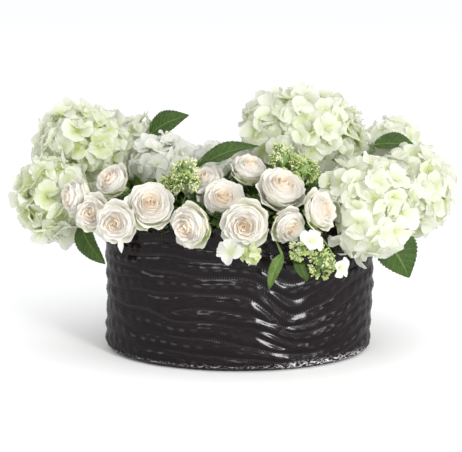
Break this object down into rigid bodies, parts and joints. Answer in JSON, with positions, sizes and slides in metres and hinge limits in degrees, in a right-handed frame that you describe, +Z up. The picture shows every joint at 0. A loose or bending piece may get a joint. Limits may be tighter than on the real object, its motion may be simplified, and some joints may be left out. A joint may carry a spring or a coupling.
{
  "type": "floral table centerpiece",
  "caption": "Silk arrangement of ten pale green and white hydrangea heads, sixteen cream spray roses, green bud sprays and leaves in an oval dark ceramic bowl with wavy wood-grain ridges.",
  "frame": {"origin": "middle of the bowl's flat underside", "axes": "+X along the bowl's long side, -Y to the front, +Z up"},
  "size_m": [0.5224, 0.3416, 0.3139],
  "materials": {
    "bowl_glaze": "satin",
    "foam_green": "matte",
    "petal_green": "matte",
    "petal_cream": "matte",
    "petal_white": "matte",
    "rose_cream": "matte",
    "lace_white": "matte",
    "bud_green": "matte",
    "stem_green": "matte",
    "leaf_green": "satin"
  },
  "bodies": {
    "root": {"bowl": "bowl_glaze", "buds_back": "bud_green", "buds_front": "bud_green", "buds_front_right": "bud_green", "buds_left": "bud_green", "buds_right": "bud_green", "foam": "foam_green", "head_back_left": "petal_white", "head_back_mid": "petal_cream", "head_back_right": "petal_cream", "head_far_left": "petal_cream", "head_far_right": "petal_green", "head_left_lower": "petal_green", "head_left_upper": "petal_green", "head_middle": "petal_white", "head_right_front": "petal_cream", "head_right_upper": "petal_green", "lace_front_1": "lace_white", "lace_front_right_1": "lace_white", "lace_front_right_2": "lace_white", "leaf_back_left": "leaf_green", "leaf_left_low": "leaf_green", "leaf_middle": "leaf_green", "leaf_rear_left": "leaf_green", "leaf_rear_right": "leaf_green", "leaf_right_low": "leaf_green", "leaf_right_top": "leaf_green", "rose_back_left_1": "rose_cream", "rose_back_right_1": "rose_cream", "rose_back_right_2": "rose_cream", "rose_front_1": "rose_cream", "rose_front_2": "rose_cream", "rose_left_1": "rose_cream", "rose_left_2": "rose_cream", "rose_left_3": "rose_cream", "rose_left_front_1": "rose_cream", "rose_left_front_2": "rose_cream", "rose_middle_1": "rose_cream", "rose_middle_2": "rose_cream", "rose_middle_3": "rose_cream", "rose_right_1": "rose_cream", "rose_right_2": "rose_cream", "rose_right_3": "rose_cream", "spray_back_left": "stem_green", "spray_back_right": "stem_green", "spray_front": "stem_green", "spray_left": "stem_green", "spray_left_front": "stem_green", "spray_middle": "stem_green", "spray_right": "stem_green", "stem_back_left": "stem_green", "stem_back_mid": "stem_green", "stem_back_right": "stem_green", "stem_far_left": "stem_green", "stem_far_right": "stem_green", "stem_left_lower": "stem_green", "stem_left_upper": "stem_green", "stem_middle": "stem_green", "stem_right_front": "stem_green", "stem_right_upper": "stem_green"}
  },
  "joints": []
}
